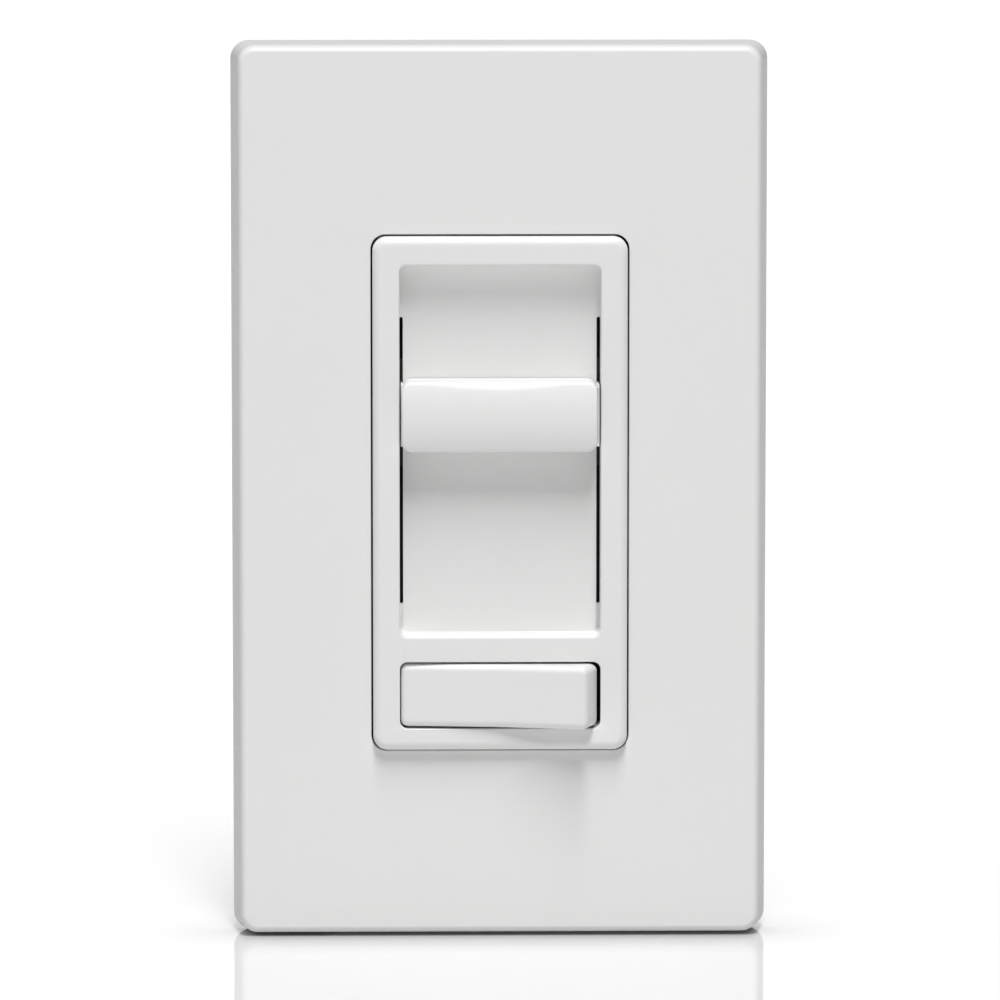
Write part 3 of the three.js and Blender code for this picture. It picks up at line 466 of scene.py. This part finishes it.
def prism(outline_points, front, back):
    """The skin of a straight solid with that (x, z) outline."""
    skin = Skin()
    rings = [skin.ring([(x, y, z) for x, z in outline_points]) for y in (front, back)]
    skin.loft(rings)
    skin.flat(rings[0])
    skin.flat(rings[1])
    return skin


# ---- wallplate --------------------------------------------------------------


def wallplate_cover():
    skin = Skin()

    def ring(half_x, half_z, corner, y, centre_z=0.0):
        return skin.ring([(x, y, z) for x, z in outline(half_x, half_z, corner, centre_z)])

    half_x, half_z = PLATE_HALF
    rings = [ring(*OPENING_HALF, OPENING_CORNER, PLATE_FACE + PLATE_WALL, FACE_Z)]
    for grow, y in reversed(roll(PLATE_FACE, OPENING_LIP, OPENING_LIP)):
        rings.append(ring(OPENING_HALF[0] + grow, OPENING_HALF[1] + grow, OPENING_CORNER + grow, y, FACE_Z))
    draft_x, draft_z = PLATE_DRAFT
    for shrink, y in roll(PLATE_FACE, *PLATE_ROLL):
        rings.append(ring(half_x - draft_x - shrink, half_z - draft_z - shrink, PLATE_CORNER - shrink, y))
    chamfer = PLATE_BACK_CHAMFER
    rings.append(ring(half_x, half_z, PLATE_CORNER, -chamfer))
    rings.append(ring(half_x - chamfer, half_z - chamfer, PLATE_CORNER, 0))
    inner_x, inner_z = half_x - PLATE_WALL, half_z - PLATE_WALL
    inner_y = PLATE_FACE + PLATE_WALL
    rings.append(ring(inner_x, inner_z, PLATE_INNER_CORNER, 0))
    rings.append(ring(inner_x - draft_x, inner_z - draft_z, PLATE_INNER_CORNER, inner_y))
    skin.loft(rings)
    skin.bridge(rings[-1], rings[0])
    return show("wallplate_shell", skin.mesh("wallplate cover"))


# ---- face frame -------------------------------------------------------------


def recess_depth(z):
    """How far back the recess floor lies at a height; it sweeps up to the lip at the top."""
    if z <= COVE_FOOT:
        return RECESS_FLOOR
    share = min(1.0, (z - COVE_FOOT) / COVE_HEIGHT)
    depth = (RECESS_FLOOR - FRAME_FACE) * math.sqrt(1 - share * share)
    return FRAME_FACE + max(depth, WINDOW_LIP)


def lip_rings(skin, points, half_x, half_z, corner, centre_z, lips, steps):
    """Rings of a rounded lip, from the frame's face down into a window.
    lips are the radii at the sides and at the bottom."""
    rings = []
    for angle in quarter_turn(steps):
        ring = []
        for x, z in points:
            out_x = math.copysign(max(abs(x) - half_x + corner, 0), x)
            out_z = math.copysign(max(abs(z - centre_z) - half_z + corner, 0), z - centre_z)
            out = Vector((out_x, out_z)).normalized()
            lip = lips[0] + (lips[1] - lips[0]) * max(0, -out.y) ** 2
            grow = lip * (1 - math.sin(angle))
            ring.append((x + out.x * grow, FRAME_FACE + lip * (1 - math.cos(angle)), z + out.y * grow))
        rings.append(skin.ring(ring))
    return rings


def face_frame():
    skin = Skin()
    half_x, half_z = FRAME_HALF

    def outer_ring(shrink, y):
        points = outline(half_x - shrink, half_z - shrink, FRAME_CORNER - shrink, FACE_Z)
        return skin.ring([(x, y, z) for x, z in points])

    outer = [outer_ring(0, FRAME_BACK)]
    outer += [outer_ring(shrink, y) for shrink, y in reversed(roll(FRAME_FACE, FRAME_EDGE, FRAME_EDGE))]
    skin.loft(outer)

    straight = RECESS_TOP - RECESS_CORNER - COVE_FOOT
    levels = [COVE_FOOT + straight * step / COVE_STEPS for step in range(COVE_STEPS)]
    centre = (RECESS_TOP + RECESS_BOTTOM) / 2
    half = (RECESS_TOP - RECESS_BOTTOM) / 2
    points = outline(RECESS_X, half, RECESS_CORNER, centre, side_levels=levels)
    lips = (WINDOW_LIP, BOTTOM_LIP)
    recess = lip_rings(skin, points, RECESS_X, half, RECESS_CORNER, centre, lips, RECESS_LIP_STEPS)
    recess.append(skin.ring([(x, recess_depth(z), z) for x, z in points]))
    skin.loft(recess)
    skin.ladder(recess[-1])

    half = (ROCKER_TOP - ROCKER_BOTTOM) / 2
    corner = ROCKER_WINDOW_CORNER
    points = outline(RECESS_X, half, corner, ROCKER_Z)
    lips = (ROCKER_WINDOW_LIP, ROCKER_WINDOW_LIP)
    window = lip_rings(skin, points, RECESS_X, half, corner, ROCKER_Z, lips, WINDOW_LIP_STEPS)
    relief = outline(RECESS_X + ROCKER_RELIEF, half, corner, ROCKER_Z)
    relief_y = FRAME_FACE + ROCKER_WINDOW_DEPTH
    for ring_points, y in ((points, relief_y), (relief, relief_y), (relief, FRAME_BACK)):
        window.append(skin.ring([(x, y, z) for x, z in ring_points]))
    skin.loft(window)

    skin.flat(outer[-1], recess[0], window[0])
    skin.flat(outer[0], window[-1])
    piece = show("front_frame", skin.mesh("face frame"))
    pocket = outline(*BACK_POCKET["half"], BACK_POCKET["corner"], BACK_POCKET["centre_z"])
    cut_with(piece, prism(pocket, BACK_POCKET["front"], 0))
    for side in (-1, 1):
        cut_slot_and_groove(piece, side)
    soften(piece.data, SHARP_EDGE)
    return piece


def cut_slot_and_groove(piece, side):
    """The blade's slot beside the recess floor, and the shallow groove that goes on below it."""
    outer = RECESS_X + OVERRUN
    middle_x = side * (SLOT_INNER + outer) / 2
    half_width = (outer - SLOT_INNER) / 2

    def upright(top, bottom, corner, front, back):
        points = outline(half_width, (top - bottom) / 2, corner, (top + bottom) / 2)
        return prism([(x + middle_x, z) for x, z in points], front, back)

    slot_corner = half_width - OVERRUN
    cut_with(piece, upright(SLOT_TOP, SLOT_BOTTOM, slot_corner, RECESS_FLOOR - 0.4, SLOT_BACK))
    groove_back = RECESS_FLOOR + GROOVE_DEPTH
    cut_with(piece, upright(GROOVE_TOP, GROOVE_BOTTOM, GROOVE_CORNER, RECESS_FLOOR - 0.2, groove_back))


# ---- rounded caps: the slider's bar and the rocker's paddle -----------------


def pillow(skin, half_x, half_z, corner, edge, surface):
    """The face of a cap, as rings that shrink to its long middle line. surface gives y at (x, z).
    Returns the outermost ring, where the rounded edge meets the side, and the heights of its
    side points."""
    insets = [edge * (1 - math.cos(angle)) for angle in quarter_turn(EDGE_STEPS)]
    rest = half_z - edge
    insets += [edge + rest * step / CAP_RINGS for step in range(1, CAP_RINGS + 1)]
    levels = [-half_z + corner + 2 * (half_z - corner) * step / CAP_UP for step in range(1, CAP_UP)]
    rings = []
    for inset in insets:
        z_scale = (half_z - inset) / half_z
        inner_corner = min(max(corner - inset, TINY_CORNER), half_z - inset)
        inner_levels = [level * z_scale for level in levels]
        points = outline(half_x - inset, half_z - inset, inner_corner, 0.0, CAP_ACROSS, inner_levels)
        sunk = edge - math.sqrt(max(0.0, edge ** 2 - (edge - inset) ** 2)) if inset < edge else 0.0
        rings.append(skin.ring([(x, surface(x, z) + sunk, z) for x, z in points]))
    skin.loft(rings)
    return rings[0], levels


def slider_surface(x, z):
    """The bar's face: rounded from top to bottom, with a finger scoop along the middle of its top edge."""
    half_z = SLIDER_HALF[1]
    rounding = SLIDER_DROP * (abs(z) / half_z) ** SLIDER_FULLNESS
    reach = SCOOP_REACH * max(0.0, 1 - (x / SCOOP_HALF) ** 2)
    into = max(0.0, z - (half_z - reach))
    return SLIDER_CREST + rounding + SCOOP_SLOPE * into * into / (into + SCOOP_BLEND)


def slider_knob():
    skin = Skin()
    half_x, half_z = SLIDER_HALF
    edge, levels = pillow(skin, half_x, half_z, SLIDER_CORNER, SLIDER_EDGE, slider_surface)
    points = outline(half_x, half_z, SLIDER_CORNER, 0.0, CAP_ACROSS, levels)
    back = skin.ring([(x, RECESS_FLOOR - SLIDER_CLEARANCE, z) for x, z in points])
    skin.loft([edge, back])
    skin.flat(back)
    move = Matrix.Translation((SLIDER_SHIFT, 0, SLIDER_Z))
    return show("slide_bar", skin.mesh("slider knob", turn=move))


def blade(side):
    """The thin plate beside an end of the bar, which runs in the frame's slot.
    It is joined to the bar at its top and at its bottom."""
    inner, outer = BLADE_X
    nub = BLADE_NUB
    low, high = SLIDER_Z - BLADE_HALF_HEIGHT, SLIDER_Z + BLADE_HALF_HEIGHT
    bar_end = SLIDER_HALF[0] - BLADE_JOINT
    section = [(bar_end, low), (outer, low), (outer, high), (bar_end, high), (bar_end, high - nub),
               (inner, high - nub), (inner, low + nub), (bar_end, low + nub)]
    if side < 0:
        section.reverse()
    return prism([(side * x, z) for x, z in section], BLADE_FRONT, BLADE_STEP)


def blade_tail(side):
    """The part of the blade behind the recess floor."""
    inner, outer = BLADE_X
    middle = side * (inner + outer) / 2
    points = outline((outer - inner) / 2, BLADE_HALF_HEIGHT, TINY_CORNER, SLIDER_Z)
    return prism([(x + middle, z) for x, z in points], BLADE_STEP, BLADE_BACK)


def rocker_surface(x, _z):
    """The paddle's face from its pivot: a shallow vee, blunt in the middle and level from top to bottom."""
    return ROCKER_MIDDLE - math.tan(ROCKER_VEE) * (math.hypot(x, ROCKER_BLUNT) - ROCKER_BLUNT)


def rocker_paddle():
    skin = Skin()
    half_x = ROCKER_HALF[0] + ROCKER_EDGE * math.tan(ROCKER_DRAFT)
    half_z = ROCKER_HALF[1]
    face_end = rocker_surface(half_x, 0)
    edge, levels = pillow(skin, half_x, half_z, ROCKER_CORNER, ROCKER_EDGE, rocker_surface)
    rings = [edge]
    top = face_end + ROCKER_EDGE
    for step in range(1, ROCKER_SIDE_STEPS + 1):
        share = step / ROCKER_SIDE_STEPS
        level = top + (ROCKER_FOOT - top) * share
        grow = (level - top) * math.tan(ROCKER_DRAFT)
        points = outline(half_x + grow, half_z, ROCKER_CORNER, 0.0, CAP_ACROSS, levels)
        bowed = [(x, level + (rocker_surface(x, z) - face_end) * (1 - share), z) for x, z in points]
        rings.append(skin.ring(bowed))
    skin.loft(rings)
    skin.flat(rings[-1])
    turn = Matrix.Translation((0, ROCKER_PIVOT_Y, ROCKER_Z)) @ Matrix.Rotation(ROCKER_TILT, 4, "Z")
    return show("rocker_cap", skin.mesh("rocker paddle", turn=turn))


# ---- wire leads -------------------------------------------------------------


def smooth_path(knots):
    """A centripetal Catmull-Rom curve through the knots."""
    knots = [Vector(k) for k in knots]
    ends = [knots[0] * 2 - knots[1], *knots, knots[-1] * 2 - knots[-2]]
    path = []
    for a, b, c, d in zip(ends, ends[1:], ends[2:], ends[3:]):
        t0 = 0.0
        t1 = t0 + math.sqrt((b - a).length)
        t2 = t1 + math.sqrt((c - b).length)
        t3 = t2 + math.sqrt((d - c).length)
        for step in range(LEAD_SPAN_STEPS):
            t = t1 + (t2 - t1) * step / LEAD_SPAN_STEPS
            ab = a * ((t1 - t) / (t1 - t0)) + b * ((t - t0) / (t1 - t0))
            bc = b * ((t2 - t) / (t2 - t1)) + c * ((t - t1) / (t2 - t1))
            cd = c * ((t3 - t) / (t3 - t2)) + d * ((t - t2) / (t3 - t2))
            left = ab * ((t2 - t) / (t2 - t0)) + bc * ((t - t0) / (t2 - t0))
            right = bc * ((t3 - t) / (t3 - t1)) + cd * ((t - t1) / (t3 - t1))
            path.append(left * ((t2 - t) / (t2 - t1)) + right * ((t - t1) / (t2 - t1)))
    path.append(knots[-1])
    return path


def tube(path, radius):
    """A round wire along the path, with an even twist."""
    skin = Skin()
    rings = []
    across = Vector((1, 0, 0))
    angles = [2 * math.pi * k / LEAD_SIDES for k in range(LEAD_SIDES)]
    for i, point in enumerate(path):
        ahead = (path[min(i + 1, len(path) - 1)] - path[max(i - 1, 0)]).normalized()
        across = (across - ahead * across.dot(ahead)).normalized()
        up = ahead.cross(across)
        spokes = [across * math.cos(angle) + up * math.sin(angle) for angle in angles]
        rings.append(skin.ring([tuple(point + spoke * radius) for spoke in spokes]))
    skin.loft(rings)
    skin.faces.append(tuple(reversed(rings[0])))
    skin.faces.append(tuple(rings[-1]))
    return skin


def fold_over(x, top):
    """The half turn of a folded lead, from the part that runs up to the part that hangs down."""
    front, back = LEAD_FALL
    radius = (back - front) / 2
    angles = [math.radians(degrees) for degrees in (180, 135, 90, 45, 0)]
    return [(x, front + radius + radius * math.cos(a), top - radius + radius * math.sin(a)) for a in angles]


def housing_lead(index):
    """Knots of a lead that leaves the housing's back, bends up, folds over and hangs down behind itself."""
    x = LEAD_X[index]
    front, back = LEAD_FALL
    exit_run = [(x, y, LEAD_EXIT_Z) for y in (21.5, 26, 31)]
    rise = [(x, 36, LEAD_EXIT_Z + 4), (x, front, LEAD_EXIT_Z + 14)]
    return [*exit_run, *rise, *fold_over(x, 30 + index * 2.5), (x, back, -12 + index * 4)]


def ground_lead():
    """Knots of the lead that drops from the ground ring, passes under the housing and folds over too."""
    x, y, z = GROUND
    start = z - 4.5
    outer = x + 6
    front, back = LEAD_FALL
    return [(x, y, start), (x, y, start - 5.5), (x + 0.6, 8, start - 9.4), (outer, 22, start - 6),
            (outer, 34, start + 2), (outer, front, start + 14), *fold_over(outer, 27), (outer, back, -6)]


def lead(name, knots, striped=False):
    skin = tube(smooth_path(knots), LEAD_RADIUS)
    piece = show(f"wire_{name}", skin.mesh(f"lead {name}", sharp=SHARP_LEAD_EDGE))
    finish_piece(piece, "device", [f"lead_{name}"], f"wire_{name}")
    if striped:
        piece.data.materials.append(STRIPE_WHITE)
        for face in piece.data.polygons:
            face.material_index = 1 if abs(face.normal.x) > LEAD_STRIPE else 0


# ---- the other pieces, which keep their CAD meshes ---------------------------


def finish_cad_nodes():
    """Paints every CAD node and gives those that stay in view a small rounded edge."""
    for subpart in frame["record"]["subparts"]:
        cad = frame["nodes"][subpart["node"]]
        cad.data.materials.clear()
        cad.data.materials.append(SLOT_LOOKS[subpart["material_slot"]])
        if cad.hide_render:
            continue
        soften(cad.data, SHARP_CAD_EDGE)
        rounding = cad.modifiers.new("small edge", "BEVEL")
        rounding.width = CAD_EDGE * MM
        rounding.segments = 2
        rounding.limit_method = "ANGLE"
        rounding.angle_limit = CAD_EDGE_ANGLE
        rounding.harden_normals = False


# ---- studio -----------------------------------------------------------------


def studio_floor():
    """A wide white floor, polished so that it mirrors the plate's foot. It glows evenly, and the glow also
    lights the pieces from below, but it fades in narrow gaps near the plate's foot: painted contact shade.
    """
    mesh = bpy.data.meshes.new("floor")
    corners = [(x * FLOOR_HALF, y * FLOOR_HALF, 0) for x, y in ((-1, -1), (1, -1), (1, 1), (-1, 1))]
    mesh.from_pydata(corners, [], [(0, 1, 2, 3)])
    piece = show("floor", mesh)
    look = material("studio floor", (FLOOR_GREY,) * 3, 0.0, vary=0.003, bump=0.0)
    tree = look.node_tree
    shader = tree.nodes["Principled BSDF"]
    # The glow is scaled by the square of the ambient occlusion, so the floor dims right beside the plate's
    # foot: painted contact shade.
    painted_shade_ao = tree.nodes.new("ShaderNodeAmbientOcclusion")
    painted_shade_ao.samples = 16
    painted_shade_ao.inputs["Distance"].default_value = PAINTED_SHADE_REACH
    glow_with_painted_shade = maths(tree, "MULTIPLY", maths(tree, "POWER", painted_shade_ao.outputs["AO"], 2.0), FLOOR_GLOW)
    tree.links.new(glow_with_painted_shade, shader.inputs["Emission Strength"])
    shader.inputs["Emission Color"].default_value = (1, 1, 1, 1)
    mesh.materials.append(look)


def area_light(name, location, target, size, power):
    light = bpy.data.lights.new(name, "AREA")
    light.shape = "RECTANGLE"
    light.size, light.size_y = size
    light.energy = power
    made = bpy.data.objects.new(name, light)
    made.location = location
    made.rotation_euler = (target - location).to_track_quat("-Z", "Y").to_euler()
    bpy.context.scene.collection.objects.link(made)


def soft_surroundings():
    """Soft light from the left, from the front and from high behind.
    Seen directly or in the floor it is plain white."""
    world = bpy.data.worlds.new("studio")
    bpy.context.scene.world = world
    world.use_nodes = True
    tree = world.node_tree
    around = tree.nodes.new("ShaderNodeTexCoord")
    parts = tree.nodes.new("ShaderNodeSeparateXYZ")
    tree.links.new(around.outputs["Generated"], parts.inputs["Vector"])
    right, back, up = (parts.outputs[axis] for axis in "XYZ")
    ahead = maths(tree, "MAXIMUM", maths(tree, "MULTIPLY", back, -1.0), 0.0)
    behind = maths(tree, "MAXIMUM", back, 0.0)
    above = maths(tree, "GREATER_THAN", up, BACK_LIGHT_FROM)
    leftward = maths(tree, "MAXIMUM", maths(tree, "MULTIPLY", right, -1.0), 0.0)
    side = maths(tree, "MULTIPLY", maths(tree, "MULTIPLY", leftward, leftward), LEFT_LIGHT)
    front = maths(tree, "MULTIPLY", maths(tree, "MULTIPLY", ahead, ahead), FRONT_LIGHT)
    rear = maths(tree, "MULTIPLY", maths(tree, "MULTIPLY", behind, above), BACK_LIGHT)
    lit = maths(tree, "ADD", maths(tree, "ADD", side, front), rear)
    rays = tree.nodes.new("ShaderNodeLightPath")
    white = maths(tree, "MAXIMUM", rays.outputs["Is Camera Ray"], rays.outputs["Is Singular Ray"])
    tree.links.new(maths(tree, "MAXIMUM", lit, white), tree.nodes["Background"].inputs["Color"])


def toward(elevation, azimuth):
    """The way from the object to a light or a camera; azimuth 0 is straight in front."""
    level = math.cos(elevation)
    return Vector((math.sin(azimuth) * level, -math.cos(azimuth) * level, math.sin(elevation)))


def studio():
    soft_surroundings()
    key_place = WALL_CENTRE + toward(KEY_ELEVATION, KEY_AZIMUTH) * KEY_DISTANCE
    area_light("key", key_place, WALL_CENTRE, KEY_SIZE, KEY_POWER)
    bpy.context.scene.view_settings.view_transform = "Standard"


def camera():
    made = bpy.data.objects.new("camera", bpy.data.cameras.new("camera"))
    made.data.lens = CAMERA_LENS
    made.data.sensor_width = CAMERA_SENSOR
    away = toward(CAMERA_ELEVATION, CAMERA_AZIMUTH)
    made.location = place(*CAMERA_TARGET) + away * CAMERA_DISTANCE
    made.rotation_euler = (-away).to_track_quat("-Z", "Y").to_euler()
    made.data.clip_start = 0.01
    made.data.clip_end = 50
    bpy.context.scene.collection.objects.link(made)
    bpy.context.scene.camera = made


# ---- the whole object and its studio ----------------------------------------

finish_piece(wallplate_cover(), "device", ["wallplate_cover"], "white_plastic")
finish_piece(face_frame(), "device", ["face_frame"], "white_plastic")
finish_piece(slider_knob(), "slider", ["slider_knob"], "white_plastic")
for end, side in (("left", -1), ("right", 1)):
    for part, skin in (("blade", blade(side)), ("tail", blade_tail(side))):
        piece = show(f"slide_bar_{part}_{end}", skin.mesh(f"slider {part}"))
        finish_piece(piece, "slider", [], "white_plastic")
finish_piece(rocker_paddle(), "rocker", ["rocker_paddle"], "white_plastic")
for index, name in enumerate(("black", "red", "red_striped")):
    lead(name, housing_lead(index), striped=name == "red_striped")
lead("green", ground_lead())
finish_cad_nodes()

studio_floor()
studio()
camera()
